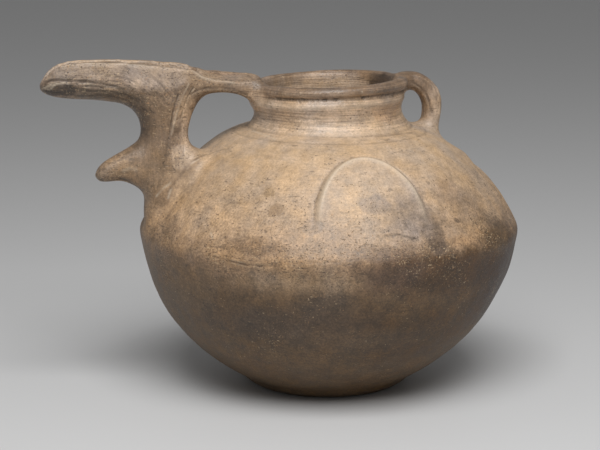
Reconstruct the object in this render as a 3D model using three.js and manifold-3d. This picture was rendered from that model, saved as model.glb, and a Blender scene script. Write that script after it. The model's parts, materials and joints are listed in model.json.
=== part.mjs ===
// Bridge-spouted pitcher of hand-built, burnished earthenware.
// Millimetres, +Z up. The origin is the centre of the underside.
// The spout points along -X, the loop handle along +X and the front boss along -Y.

import * as THREE from "three";
import { mergeVertices } from "three/addons/utils/BufferGeometryUtils.js";
import Module from "manifold-3d";

const wasm = await Module();
wasm.setup();

// Luted seams and smoothness of the round forms
const SEAM = 0.3;
const WALL_FACETS = 48;
const LIMB_FACETS = 20;

// Base pad and lower bowl
const BASE_RADIUS = 51;
const BASE_EDGE_RADIUS = 55;
const BASE_THICKNESS = 7;
const BASE_SHIFT = 2;
const BELLY_RADIUS = 117.5;
const BELLY_HEIGHT = 99;
const BODY_WALL = 6.5;
const BOWL_FOOT_WIDTH = 10;
const BOWL_FULLNESS = 0.63;
const BOWL_CURL = 3.6;

// Shoulder, neck, root coil and rolled rim
const SHOULDER_TOP = 162;
const SHOULDER_FULLNESS = 0.85;
const NECK_RADIUS = 46;
const NECK_WALL = 6;
const NECK_RISE = 23.5;
const COIL_WIDTH = 4.5;
const COIL_RISE = 6;
const RIM_ROLL_WIDTH = 9;
const RIM_ROLL_RISE = 6.5;
const RIM_OVERHANG = 1;
const LIP_GROOVE = 1;

// Spout pipe that stands on the shoulder, with its root fillet and the lug in front
const PIPE_INSET = 10.5;
const PIPE_DEPTH = 26.5;
const PIPE_WIDTH = 26;
const PIPE_WAIST_RISE = 30;
const PIPE_RISE = 17.5;
const PIPE_FRONT_FLARE = 16;
const PIPE_BACK_FLARE = 8.5;
const PIPE_SIDE_FLARE = 1.5;
const PIPE_TUCK = 8;
const PIPE_BORE_RADIUS = 6.5;
const PIPE_BORE_SHIFT = 3.5;
const BORE_OVERRUN = 1;
const ROOT_SPREAD = 8;
const ROOT_LIP = 1;
const ROOT_SHIFT = 12;
const ROOT_RISE = 21;
const LUG_REACH = 40.5;
const LUG_TIP_RADIUS = 6;
const LUG_ROOT_RADIUS = 17;
const LUG_DROP = 22;
const LUG_DROOP = 3;
const LUG_ROUNDING = 8;
const LUG_BLUNTNESS = 0.8;

// Open trough on top of the pipe
const TROUGH_FORE = 72.5;
const TROUGH_AFT = 27;
const TROUGH_WIDTH = 33;
const TROUGH_WALL = 4.5;
const KEEL_TIP_RISE = 7;
const KEEL_RISE = 3;
const LIP_RISE = 17;
const TROUGH_WALL_RISE = 25.8;
const CREST_FORE = 45.5;
const TROUGH_BACK_RISE = 20;
const TROUGH_BACK_DROP = 3;
const BACK_CORNER_TIGHTNESS = 12;
const KEEL_STEP_SHARE = 1 / 4;
const UPRIGHT_WALL_SHARE = 0.55;
const EDGE_TILT = 1.7;
const TROUGH_TIP_WIDTH = 8;
const CHANNEL_TIP_WIDTH = 6;
const CHANNEL_RISE = 11;
const CHANNEL_OVERRUN = 1;

// Bridge from the trough to the rim, and its tail down the back of the pipe
const BRIDGE_WIDTH = 20;
const BRIDGE_THICKNESS = 12.5;
const BRIDGE_STEP = 2.2;
const BRIDGE_OVER_RIM = 1.8;
const BRIDGE_ROOT_DROP = 11;
const TAIL_WIDTH = 15;
const TAIL_THICKNESS = 3;

// Loop handle on the opposite side
const HANDLE_THICKNESS = 12.5;
const HANDLE_WIDTH = 17;
const HANDLE_OVER_RIM = 3;
const HANDLE_REACH = 24.5;
const HANDLE_WAIST = 1;
const FOOT_PAD_SPREAD = 9;
const FOOT_PAD_DROP = 14;
const FOOT_PAD_RISE = 1;
const FEATHER = 0.8;

// Arched bosses on the shoulder
const BOSS_WIDTH = 68;
const BOSS_TOP_DROP = 10;
const HANDLE_BOSS_DROP = 19;
const BOSS_MIDDLE_RISE = 18;
const BOSS_FOOT_RISE = 1.5;
const BOSS_RELIEF = 3.5;
const BOSS_EDGE = 0.8;
const BOSS_CROWN_SHARE = 0.1;

// Sizes that follow from the ones above
const NECK_BORE = NECK_RADIUS - NECK_WALL;
const SHOULDER_TOP_RADIUS = NECK_RADIUS + SEAM + COIL_WIDTH;
const NECK_TOP = SHOULDER_TOP + NECK_RISE;
const RIM_TOP = NECK_TOP + RIM_ROLL_RISE;
const RIM_MIDDLE = NECK_RADIUS - NECK_WALL / 2 + RIM_OVERHANG;
const RIM_OUTSIDE = RIM_MIDDLE + RIM_ROLL_WIDTH / 2;
const PIPE_X = -(BELLY_RADIUS - PIPE_INSET);
const PIPE_FOOT_HEIGHT = shoulderHeight(-PIPE_X - PIPE_DEPTH / 2);
const PIPE_WAIST_HEIGHT = PIPE_FOOT_HEIGHT + PIPE_WAIST_RISE;
const SEAT = PIPE_WAIST_HEIGHT + PIPE_RISE;
const TROUGH_TIP_X = PIPE_X - TROUGH_FORE;
const TROUGH_BACK_X = PIPE_X + TROUGH_AFT;
const BOSS_FOOT = BELLY_HEIGHT + BOSS_FOOT_RISE;
const BOSS_MIDDLE = BELLY_HEIGHT + BOSS_MIDDLE_RISE;
const BOSS_TOP = SHOULDER_TOP - BOSS_TOP_DROP;
const HANDLE_BOSS_TOP = SHOULDER_TOP - HANDLE_BOSS_DROP;

// Closed solids: turned walls, lofts through rings, and their joins and cuts

function solidOf(geometry) {
  const bare = geometry.clone();
  bare.deleteAttribute("normal");
  bare.deleteAttribute("uv");
  const merged = mergeVertices(bare, 1e-4);
  const vertProperties = new Float32Array(merged.attributes.position.array);
  const triVerts = new Uint32Array(merged.index.array);
  return new wasm.Manifold(new wasm.Mesh({ numProp: 3, vertProperties, triVerts }));
}

function geometryOf(solid) {
  const mesh = solid.getMesh();
  const geometry = new THREE.BufferGeometry();
  geometry.setAttribute("position", new THREE.BufferAttribute(new Float32Array(mesh.vertProperties), 3));
  geometry.setIndex(new THREE.BufferAttribute(new Uint32Array(mesh.triVerts), 1));
  geometry.computeVertexNormals();
  return geometry;
}

function turned(outline) {
  const points = outline.map(([r, z]) => new THREE.Vector2(r, z));
  return new THREE.LatheGeometry(points, WALL_FACETS).rotateX(Math.PI / 2);
}

function turnedRing(outline) {
  return turned([...outline, outline[0]]);
}

function loft(rings) {
  const sides = rings[0].length;
  const positions = rings.flat().flatMap((p) => [p.x, p.y, p.z]);
  const triangles = [];
  for (let i = 0; i < rings.length - 1; i += 1) {
    for (let j = 0; j < sides; j += 1) {
      const next = (j + 1) % sides;
      const a = i * sides + j;
      const b = i * sides + next;
      triangles.push(a, b, b + sides, a, b + sides, a + sides);
    }
  }
  const ends = [[rings[0], 0, true], [rings.at(-1), (rings.length - 1) * sides, false]];
  for (const [ring, first, reversed] of ends) {
    const middle = ring.reduce((sum, p) => sum.add(p), new THREE.Vector3()).divideScalar(sides);
    const centre = positions.length / 3;
    positions.push(middle.x, middle.y, middle.z);
    for (let j = 0; j < sides; j += 1) {
      const next = (j + 1) % sides;
      triangles.push(centre, first + (reversed ? next : j), first + (reversed ? j : next));
    }
  }
  const geometry = new THREE.BufferGeometry();
  geometry.setAttribute("position", new THREE.BufferAttribute(new Float32Array(positions), 3));
  geometry.setIndex(triangles);
  return geometry;
}

function oval(centre, across, along, halfAcross, halfAlong) {
  return Array.from({ length: LIMB_FACETS }, (_, i) => {
    const angle = (2 * Math.PI * i) / LIMB_FACETS;
    return centre.clone()
      .addScaledVector(across, halfAcross * Math.cos(angle))
      .addScaledVector(along, halfAlong * Math.sin(angle));
  });
}

const X_AXIS = new THREE.Vector3(1, 0, 0);
const Y_AXIS = new THREE.Vector3(0, 1, 0);
const Z_AXIS = new THREE.Vector3(0, 0, 1);

function steps(count, place) {
  return Array.from({ length: count + 1 }, (_, i) => place(i / count));
}

function mix(from, to, share) {
  return from + (to - from) * share;
}

function ease(share) {
  const t = Math.min(Math.max(share, 0), 1);
  return t * t * (3 - 2 * t);
}

// Outlines of the turned wall as [radius, height], from the bottom up

function bowlCurve(startRadius, endRadius) {
  return steps(12, (t) => {
    const swell = BOWL_FULLNESS * (1 - (1 - t) ** BOWL_CURL) + (1 - BOWL_FULLNESS) * t;
    return [mix(startRadius, endRadius, swell), mix(BASE_THICKNESS, BELLY_HEIGHT, t)];
  });
}

function shoulderCurve(startRadius, endRadius, endHeight) {
  return steps(10, (s) => {
    const swell = SHOULDER_FULLNESS * (1 - (1 - s) ** 2) + (1 - SHOULDER_FULLNESS) * s;
    return [mix(startRadius, endRadius, s), mix(BELLY_HEIGHT, endHeight, swell)];
  });
}

function shoulderHeight(radius) {
  const share = (BELLY_RADIUS - radius) / (BELLY_RADIUS - SHOULDER_TOP_RADIUS);
  const swell = SHOULDER_FULLNESS * (1 - (1 - share) ** 2) + (1 - SHOULDER_FULLNESS) * share;
  return mix(BELLY_HEIGHT, SHOULDER_TOP, swell);
}

function coilCurve() {
  return steps(4, (t) => {
    const angle = (t * Math.PI) / 2;
    return [
      SHOULDER_TOP_RADIUS - COIL_WIDTH * Math.sin(angle),
      SHOULDER_TOP + COIL_RISE * (1 - Math.cos(angle)) + SEAM * t,
    ];
  });
}

function rimCurve() {
  return steps(10, (t) => {
    const angle = Math.PI * t;
    return [RIM_MIDDLE + (RIM_ROLL_WIDTH / 2) * Math.cos(angle), NECK_TOP + RIM_ROLL_RISE * Math.sin(angle)];
  });
}

function grown(outline, amount) {
  return outline.map(([r, z], i) => {
    const [r0, z0] = outline[Math.max(i - 1, 0)];
    const [r1, z1] = outline[Math.min(i + 1, outline.length - 1)];
    const length = Math.hypot(r1 - r0, z1 - z0);
    return [r + ((z1 - z0) / length) * amount, z - ((r1 - r0) / length) * amount];
  });
}

// The whole turned body filled in and grown by one seam: what stands on the wall is cut to it
const outside = grown([
  ...shoulderCurve(BELLY_RADIUS, SHOULDER_TOP_RADIUS, SHOULDER_TOP),
  ...coilCurve().slice(1),
  [NECK_RADIUS, NECK_TOP - LIP_GROOVE],
  ...rimCurve().slice(0, 6),
], SEAM);
const bodyFill = solidOf(turned([
  [0, BASE_THICKNESS],
  [BELLY_RADIUS + SEAM, BELLY_HEIGHT - BODY_WALL],
  ...outside,
  [0, RIM_TOP + SEAM],
]));

// Base pad: a flat clay disc under the bowl
function basePad() {
  return solidOf(turned([
    [0, 0],
    [BASE_RADIUS, 0],
    [BASE_EDGE_RADIUS, BASE_THICKNESS],
    [0, BASE_THICKNESS],
  ]));
}

// Lower bowl: from the pad out to the belly, its foot ring flat on the pad
function lowerBowl() {
  return solidOf(turnedRing([
    ...bowlCurve(BASE_EDGE_RADIUS, BELLY_RADIUS),
    ...bowlCurve(BASE_EDGE_RADIUS - BOWL_FOOT_WIDTH, BELLY_RADIUS - BODY_WALL).reverse(),
  ]));
}

// Base and bowl lean a little, so the pad sits nearer to the spout than the belly does
function leaned(solid) {
  const slant = BASE_SHIFT / BELLY_HEIGHT;
  return solid.transform([1, 0, 0, 0, 0, 1, 0, 0, slant, 0, 1, 0, -BASE_SHIFT, 0, 0, 1]);
}

// Shoulder: from the belly in to the neck, pierced where the spout pipe stands
function shoulder() {
  const wall = solidOf(turnedRing([
    ...shoulderCurve(BELLY_RADIUS, SHOULDER_TOP_RADIUS, SHOULDER_TOP),
    [NECK_BORE, SHOULDER_TOP],
    ...shoulderCurve(BELLY_RADIUS - BODY_WALL, NECK_BORE, SHOULDER_TOP - BODY_WALL).reverse(),
  ]));
  return wall.subtract(pipeBore());
}

// Neck collar, a short upright band on the shoulder
function neck() {
  return solidOf(turnedRing([
    [NECK_RADIUS, SHOULDER_TOP],
    [NECK_RADIUS, NECK_TOP],
    [NECK_BORE, NECK_TOP],
    [NECK_BORE, SHOULDER_TOP],
  ]));
}

// Coil smoothed into the angle between neck and shoulder
function neckRootCoil() {
  return solidOf(turnedRing([
    ...coilCurve().map(([r, z]) => [r, Math.max(z, SHOULDER_TOP)]),
    [NECK_RADIUS + SEAM, SHOULDER_TOP],
  ]));
}

// Rolled rim on the top edge of the neck
function rimRoll() {
  return solidOf(turnedRing(rimCurve()));
}

// Bore that leads from the inside of the body up through the pipe into the trough
function pipeBore() {
  const length = SEAT + CHANNEL_RISE + BORE_OVERRUN - BELLY_HEIGHT;
  const bore = new THREE.CylinderGeometry(PIPE_BORE_RADIUS, PIPE_BORE_RADIUS, length, LIMB_FACETS);
  bore.rotateX(Math.PI / 2);
  bore.translate(PIPE_X + PIPE_BORE_SHIFT, 0, BELLY_HEIGHT + length / 2);
  return solidOf(bore);
}

// Spout pipe: an oval column that flares fore and aft under the trough
function pipeForm(grow) {
  return solidOf(loft(steps(14, (t) => {
    const z = mix(BELLY_HEIGHT, SEAT, t);
    const rise = Math.max((z - PIPE_WAIST_HEIGHT) / PIPE_RISE, 0);
    const fall = Math.max((PIPE_WAIST_HEIGHT - z) / (PIPE_WAIST_HEIGHT - BELLY_HEIGHT), 0);
    const front = PIPE_X - PIPE_DEPTH / 2 - PIPE_FRONT_FLARE * rise ** 3 + PIPE_TUCK * fall ** 2 - grow;
    const back = PIPE_X + PIPE_DEPTH / 2 + PIPE_BACK_FLARE * rise ** 2 + grow;
    const centre = new THREE.Vector3((front + back) / 2, 0, z);
    const halfWidth = PIPE_WIDTH / 2 + PIPE_SIDE_FLARE * rise ** 2 + grow;
    return oval(centre, X_AXIS, Y_AXIS, (back - front) / 2, halfWidth);
  })));
}

function spoutPipe() {
  return pipeForm(0).subtract(pipeBore()).subtract(bodyFill);
}

// Luting clay smoothed round the root of the pipe
function rootForm(grow) {
  const top = PIPE_FOOT_HEIGHT + ROOT_RISE;
  return solidOf(loft(steps(8, (t) => {
    const spread = ROOT_SPREAD * (1 - t) ** 2 + ROOT_LIP + grow;
    const centre = new THREE.Vector3(PIPE_X + ROOT_SHIFT * (1 - t), 0, mix(BELLY_HEIGHT, top, t));
    return oval(centre, X_AXIS, Y_AXIS, PIPE_DEPTH / 2 + spread, PIPE_WIDTH / 2 + spread);
  })));
}

function spoutRootFillet() {
  return rootForm(0).subtract(pipeForm(SEAM)).subtract(bodyFill);
}

// Lug in front of the pipe root, like a short beard below the beak
function spoutLug() {
  const rootHeight = PIPE_WAIST_HEIGHT - LUG_DROP;
  const rings = steps(10, (t) => {
    const end = Math.max(1 - ((1 - t) * LUG_REACH) / LUG_ROUNDING, 0);
    const half = mix(LUG_TIP_RADIUS, LUG_ROOT_RADIUS, (1 - t) ** 2) * Math.sqrt(1 - LUG_BLUNTNESS * end ** 2);
    const centre = new THREE.Vector3(PIPE_X - LUG_REACH * t, 0, rootHeight - LUG_DROOP * t);
    return oval(centre, Z_AXIS, Y_AXIS, half, half);
  });
  return solidOf(loft(rings)).subtract(pipeForm(SEAM)).subtract(rootForm(SEAM)).subtract(bodyFill);
}

// Trough: a beak-shaped open channel on top of the pipe

function troughHalfWidth(x) {
  const share = (2 * (x - TROUGH_TIP_X)) / (TROUGH_BACK_X - TROUGH_TIP_X) - 1;
  const end = 1 - (TROUGH_TIP_WIDTH / TROUGH_WIDTH) ** 2;
  return (TROUGH_WIDTH / 2) * Math.sqrt(1 - end * Math.abs(share) ** 3);
}

function troughEdge(x) {
  const crest = PIPE_X - CREST_FORE;
  if (x < crest) {
    return SEAT + mix(TROUGH_WALL_RISE, LIP_RISE, ((crest - x) / (crest - TROUGH_TIP_X)) ** 3);
  }
  const aft = (x - crest) / (TROUGH_BACK_X - crest);
  const corner = TROUGH_BACK_DROP * aft ** BACK_CORNER_TIGHTNESS;
  return SEAT + mix(TROUGH_WALL_RISE, TROUGH_BACK_RISE, ease(aft)) - corner;
}

function keel(x) {
  const seatFront = PIPE_X - PIPE_DEPTH / 2 - PIPE_FRONT_FLARE;
  const fore = (seatFront - x) / (seatFront - TROUGH_TIP_X);
  const rise = KEEL_RISE * ease(fore / KEEL_STEP_SHARE) + (KEEL_TIP_RISE - KEEL_RISE) * fore ** 2;
  return SEAT + (x > seatFront ? 0 : rise);
}

function troughSection(x, halfWidth, bottom, top) {
  const middle = mix(bottom, top, 1 - UPRIGHT_WALL_SHARE);
  const bowl = steps(10, (t) => {
    const angle = Math.PI * t;
    return new THREE.Vector3(x, -halfWidth * Math.cos(angle), middle - (middle - bottom) * Math.sin(angle));
  });
  const near = new THREE.Vector3(x, -halfWidth, top + EDGE_TILT);
  const far = new THREE.Vector3(x, halfWidth, top - EDGE_TILT);
  return [near, ...bowl, far];
}

function troughForm(grow) {
  return solidOf(loft(steps(16, (t) => {
    const share = (1 - Math.cos(Math.PI * t)) / 2;
    const x = mix(TROUGH_TIP_X, TROUGH_BACK_X, share);
    const along = x + mix(-grow, grow, share);
    return troughSection(along, troughHalfWidth(x) + grow, keel(x) - grow, troughEdge(x) + grow);
  })));
}

function troughChannel() {
  const back = TROUGH_BACK_X - TROUGH_WALL;
  return solidOf(loft(steps(12, (t) => {
    const x = mix(TROUGH_TIP_X - CHANNEL_OVERRUN, back, t);
    const near = Math.min(Math.max(x, TROUGH_TIP_X + TROUGH_WALL), back - CHANNEL_OVERRUN);
    const half = Math.max(troughHalfWidth(near) - TROUGH_WALL, CHANNEL_TIP_WIDTH / 2);
    const floor = SEAT + mix(LIP_RISE, CHANNEL_RISE, ease(t * 2));
    return troughSection(x, half, floor, SEAT + TROUGH_WALL_RISE + 3 * EDGE_TILT);
  })));
}

function spoutTrough() {
  return troughForm(0).subtract(troughChannel()).subtract(pipeBore());
}

// Bridge: a strap from the back of the trough to the rim, arched underneath
function bridgeForm(grow) {
  const start = TROUGH_BACK_X - TROUGH_WALL;
  const end = -RIM_MIDDLE;
  return solidOf(loft(steps(10, (t) => {
    const top = mix(SEAT + TROUGH_BACK_RISE - BRIDGE_STEP, RIM_TOP + BRIDGE_OVER_RIM, t);
    const bottom = top - BRIDGE_THICKNESS - BRIDGE_ROOT_DROP * t ** 5;
    const centre = new THREE.Vector3(mix(start, end, t), 0, (top + bottom) / 2);
    return oval(centre, Y_AXIS, Z_AXIS, BRIDGE_WIDTH / 2 + grow, (top - bottom) / 2 + grow);
  })));
}

function bridgeStrap() {
  return bridgeForm(0).subtract(troughForm(SEAM)).subtract(bodyFill);
}

// Tail of the bridge: a strip pressed down the back of the pipe to the shoulder
function bridgeTail() {
  const rings = steps(10, (t) => {
    const z = mix(BELLY_HEIGHT, SEAT - SEAM, t);
    const rise = Math.max((z - PIPE_WAIST_HEIGHT) / PIPE_RISE, 0);
    const back = PIPE_X + PIPE_DEPTH / 2 + PIPE_BACK_FLARE * rise ** 2;
    const centre = new THREE.Vector3(back - TAIL_THICKNESS, 0, z);
    return oval(centre, X_AXIS, Y_AXIS, TAIL_THICKNESS * 2, TAIL_WIDTH / 2);
  });
  const strip = solidOf(loft(rings)).subtract(pipeForm(SEAM)).subtract(rootForm(SEAM));
  return strip.subtract(bodyFill).subtract(bridgeForm(SEAM));
}

// Loop handle: an oval roll from the rim out and down to the shoulder
function handlePath() {
  const out = RIM_OUTSIDE + HANDLE_REACH - HANDLE_THICKNESS / 2;
  const top = RIM_TOP + HANDLE_OVER_RIM - HANDLE_THICKNESS / 2;
  return new THREE.CatmullRomCurve3([
    new THREE.Vector3(RIM_MIDDLE, 0, top),
    new THREE.Vector3(mix(RIM_MIDDLE, out, 0.5), 0, top),
    new THREE.Vector3(out, 0, mix(top, SHOULDER_TOP, 0.5)),
    new THREE.Vector3(out - HANDLE_WAIST, 0, SHOULDER_TOP),
    new THREE.Vector3(out, 0, SHOULDER_TOP - HANDLE_THICKNESS),
  ]);
}

function handleForm(grow) {
  const section = new THREE.Shape();
  section.absellipse(0, 0, HANDLE_WIDTH / 2 + grow, HANDLE_THICKNESS / 2 + grow, 0, 2 * Math.PI);
  return solidOf(new THREE.ExtrudeGeometry(section, {
    steps: 18,
    curveSegments: LIMB_FACETS / 4,
    extrudePath: handlePath(),
  }));
}

function loopHandle() {
  return handleForm(0).subtract(bodyFill);
}

// Pad of clay pressed round the lower end of the handle
function handleFootPad() {
  const foot = RIM_OUTSIDE + HANDLE_REACH - HANDLE_THICKNESS / 2 - HANDLE_WAIST;
  const rings = steps(6, (t) => {
    const spread = FOOT_PAD_SPREAD * (1 - t) ** 1.5 + FEATHER;
    const z = mix(SHOULDER_TOP - FOOT_PAD_DROP, SHOULDER_TOP + FOOT_PAD_RISE, t);
    const centre = new THREE.Vector3(foot, 0, z);
    return oval(centre, X_AXIS, Y_AXIS, HANDLE_THICKNESS / 2 + spread, HANDLE_WIDTH / 2 + spread);
  });
  return solidOf(loft(rings)).subtract(handleForm(SEAM)).subtract(bodyFill);
}

// Arched boss: a low dome of clay that follows the shoulder, facing outward at the given angle

function shoulderRadius(height) {
  const swell = (height - BELLY_HEIGHT) / (SHOULDER_TOP - BELLY_HEIGHT);
  const lift = 1 + SHOULDER_FULLNESS;
  const share = (lift - Math.sqrt(lift ** 2 - 4 * SHOULDER_FULLNESS * swell)) / (2 * SHOULDER_FULLNESS);
  return mix(BELLY_RADIUS, SHOULDER_TOP_RADIUS, share);
}

function onShoulder(sideways, height, lift) {
  const radius = shoulderRadius(height);
  const slope = Math.atan(radius - shoulderRadius(height + 1));
  const reach = radius + lift * Math.cos(slope);
  const turn = sideways / radius;
  return new THREE.Vector3(reach * Math.cos(turn), reach * Math.sin(turn), height + lift * Math.sin(slope));
}

function bossRing(top, share, lift) {
  return Array.from({ length: LIMB_FACETS }, (_, i) => {
    const angle = (2 * Math.PI * i) / LIMB_FACETS;
    const reach = Math.sin(angle) > 0 ? top - BOSS_MIDDLE : BOSS_MIDDLE - BOSS_FOOT;
    const sideways = share * (BOSS_WIDTH / 2) * Math.cos(angle);
    return onShoulder(sideways, BOSS_MIDDLE + share * reach * Math.sin(angle), lift);
  });
}

function shoulderBoss(angle, top) {
  const dome = steps(5, (t) => {
    const lift = mix(BOSS_EDGE, BOSS_RELIEF, 1 - (1 - t) ** 2);
    return bossRing(top, mix(1, BOSS_CROWN_SHARE, t), lift);
  });
  const form = loft([bossRing(top, 1, -BODY_WALL / 2), ...dome]).rotateZ(angle);
  return solidOf(form).subtract(bodyFill);
}

// Fired clay, lighter on the shoulder and sooty under the spout
function clay(colour, roughness) {
  return new THREE.MeshStandardMaterial({ color: colour, roughness, metalness: 0 });
}

const shoulderClay = clay(0x9c8468, 0.55);
const bowlClay = clay(0x7a6853, 0.5);
const baseClay = clay(0x6f5a42, 0.65);
const neckClay = clay(0x877059, 0.5);
const spoutClay = clay(0x84705a, 0.55);

const group = new THREE.Group();
group.name = "bridge_spouted_pitcher";

function place(name, solid, material) {
  const mesh = new THREE.Mesh(geometryOf(solid).translate(BASE_SHIFT, 0, 0), material);
  mesh.name = name;
  group.add(mesh);
}

place("base_pad", leaned(basePad()), baseClay);
place("lower_bowl", leaned(lowerBowl()), bowlClay);
place("shoulder", shoulder(), shoulderClay);
place("neck", neck(), neckClay);
place("neck_root_coil", neckRootCoil(), neckClay);
place("rim_roll", rimRoll(), neckClay);
place("spout_pipe", spoutPipe(), spoutClay);
place("spout_root_fillet", spoutRootFillet(), shoulderClay);
place("spout_lug", spoutLug(), spoutClay);
place("spout_trough", spoutTrough(), spoutClay);
place("bridge_strap", bridgeStrap(), spoutClay);
place("bridge_tail", bridgeTail(), shoulderClay);
place("loop_handle", loopHandle(), neckClay);
place("handle_foot_pad", handleFootPad(), shoulderClay);
place("shoulder_boss_front", shoulderBoss(-Math.PI / 2, BOSS_TOP), shoulderClay);
place("shoulder_boss_back", shoulderBoss(Math.PI / 2, BOSS_TOP), shoulderClay);
place("shoulder_boss_handle", shoulderBoss(0, HANDLE_BOSS_TOP), shoulderClay);

export default group;
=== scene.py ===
"""Bridge-spouted pitcher of hand-built, burnished earthenware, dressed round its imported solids."""

import json
import math

import bmesh
import bpy
from mathutils import Matrix, Vector, kdtree, noise
from mathutils.bvhtree import BVHTree

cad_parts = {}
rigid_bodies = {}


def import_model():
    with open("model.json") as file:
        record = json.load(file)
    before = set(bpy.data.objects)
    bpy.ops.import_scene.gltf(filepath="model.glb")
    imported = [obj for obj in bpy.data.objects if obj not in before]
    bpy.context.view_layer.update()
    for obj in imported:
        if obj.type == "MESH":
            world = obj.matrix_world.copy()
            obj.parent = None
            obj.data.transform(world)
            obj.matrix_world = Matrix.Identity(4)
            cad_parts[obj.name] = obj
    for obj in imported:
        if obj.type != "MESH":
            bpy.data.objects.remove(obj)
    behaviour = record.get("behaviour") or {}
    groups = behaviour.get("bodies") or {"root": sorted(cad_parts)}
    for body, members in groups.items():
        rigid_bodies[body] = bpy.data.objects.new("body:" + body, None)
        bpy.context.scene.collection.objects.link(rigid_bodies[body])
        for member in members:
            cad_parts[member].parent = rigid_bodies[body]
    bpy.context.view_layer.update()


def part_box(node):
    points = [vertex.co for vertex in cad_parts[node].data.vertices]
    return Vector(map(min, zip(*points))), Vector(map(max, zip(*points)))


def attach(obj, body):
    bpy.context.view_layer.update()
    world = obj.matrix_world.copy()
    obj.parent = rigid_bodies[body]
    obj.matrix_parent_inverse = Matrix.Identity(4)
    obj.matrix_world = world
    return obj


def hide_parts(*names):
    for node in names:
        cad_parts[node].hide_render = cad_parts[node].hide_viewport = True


for leftover in list(bpy.data.objects):
    bpy.data.objects.remove(leftover)
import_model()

# Base pad. A flat disc of the same coarse clay, beaten out by hand; the bowl was raised on it
# and the pad's edge pressed up round its foot, which leaves a crease above the pad.
mm = 0.001
pad_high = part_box("base_pad")[1]
PAD_RADIUS = 45 * mm
PAD_EDGE = pad_high.x
PAD_THICKNESS = pad_high.z
PAD_EDGE_CURL = 1.5
PAD_STEPS = 5
PAD_CREASE = 0.3 * mm
FLOOR_RADIUS = 0.7 * PAD_RADIUS
FLOOR_THICKNESS = 9.5 * mm


def mix(start, end, share):
    return start + (end - start) * share


def ease(share):
    share = min(max(share, 0), 1)
    return share * share * (3 - 2 * share)


def stations(count, place):
    return [place(i / count) for i in range(count + 1)]


def pad_edge(t):
    return (mix(PAD_RADIUS, PAD_EDGE, t), PAD_THICKNESS * t**PAD_EDGE_CURL)


outside = [(0, 0)] + stations(PAD_STEPS, pad_edge)
inside = [(0, FLOOR_THICKNESS), (FLOOR_RADIUS, FLOOR_THICKNESS)]

# Lower bowl. Raised from the pad by hand and scraped thin, it swells quickly from the foot
# and then climbs steeply to the sharp belly edge, where the shoulder was luted on.
bowl_low, bowl_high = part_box("lower_bowl")
AXIS = (bowl_low.x + bowl_high.x) / 2
BELLY_RADIUS = (bowl_high.x - bowl_low.x) / 2
BELLY_HEIGHT = bowl_high.z
WALL = 6.5 * mm
BOWL_FULLNESS = 0.63
BOWL_CURL = 3.6
BOWL_STEPS = 24


def bowl_wall(t, foot, belly):
    swell = BOWL_FULLNESS * (1 - (1 - t) ** BOWL_CURL) + (1 - BOWL_FULLNESS) * t
    return (mix(foot, belly, swell), mix(PAD_THICKNESS, BELLY_HEIGHT, t))


outside += stations(BOWL_STEPS, lambda t: bowl_wall(t, PAD_EDGE - PAD_CREASE, BELLY_RADIUS))
# Inside, the thick floor takes the place of the two lowest rings
inside += stations(BOWL_STEPS, lambda t: bowl_wall(t, PAD_EDGE - WALL, BELLY_RADIUS - WALL))[2:]

# Shoulder. A second bowl of the same clay, turned over and luted on the first; it closes in a
# long convex curve to the neck.
SHOULDER_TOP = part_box("shoulder")[1].z
SHOULDER_TOP_RADIUS = 52 * mm
SHOULDER_FULLNESS = 0.85
SHOULDER_STEPS = 20
NECK_BORE = 40 * mm


def shoulder_wall(s, belly, neck, top):
    swell = SHOULDER_FULLNESS * (1 - (1 - s) ** 2) + (1 - SHOULDER_FULLNESS) * s
    return (mix(belly, neck, s), mix(BELLY_HEIGHT, top, swell))


def shoulder_radius(height):
    swell = (height - BELLY_HEIGHT) / (SHOULDER_TOP - BELLY_HEIGHT)
    lift = 1 + SHOULDER_FULLNESS
    share = (lift - math.sqrt(max(lift**2 - 4 * SHOULDER_FULLNESS * swell, 0))) / (2 * SHOULDER_FULLNESS)
    return mix(BELLY_RADIUS, SHOULDER_TOP_RADIUS, share)


outside += stations(
    SHOULDER_STEPS, lambda s: shoulder_wall(s, BELLY_RADIUS, SHOULDER_TOP_RADIUS, SHOULDER_TOP),
)[1:]
inside += stations(
    SHOULDER_STEPS, lambda s: shoulder_wall(s, BELLY_RADIUS - WALL, NECK_BORE, SHOULDER_TOP - WALL),
)[1:]

# Neck and rolled rim. A short collar of coils, drawn up and scraped level, with a coil smoothed
# into its root, a soft ridge below the lip, a finger groove, and the lip rolled outward.
neck_low, neck_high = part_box("neck")
rim_low, rim_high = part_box("rim_roll")
NECK_RADIUS = (neck_high.x - neck_low.x) / 2
RIM_TOP = rim_high.z
RIM_RADIUS = (rim_high.x - rim_low.x) / 2
GROOVE_HEIGHT = neck_high.z - 0.5 * mm
# Points of the outline, so many mm out from a radius and up from a height
NECK_ROOT = [(4.4, 1.3), (2.8, 3.1), (1.3, 5.3), (0.2, 7.8), (-0.4, 10.5), (0.2, 13.5)]
NECK_RIDGE = [(1.2, -6.3), (1.3, -4), (0.6, -1.6), (-0.6, -0.2)]
LIP_SIDE = [(-0.8, 1.2), (0.3, 3), (0.1, 4.8)]
LIP_TOP = [(-1.4, -0.6), (-3.8, 0.4)]
LIP_INSIDE = [(-6.5, -0.5), (-5.5, 4)]
WALL_FACETS = 144
WELD = 0.01 * mm


def profile(radius, height, points):
    return [(radius + out * mm, height + up * mm) for out, up in points]


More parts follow.
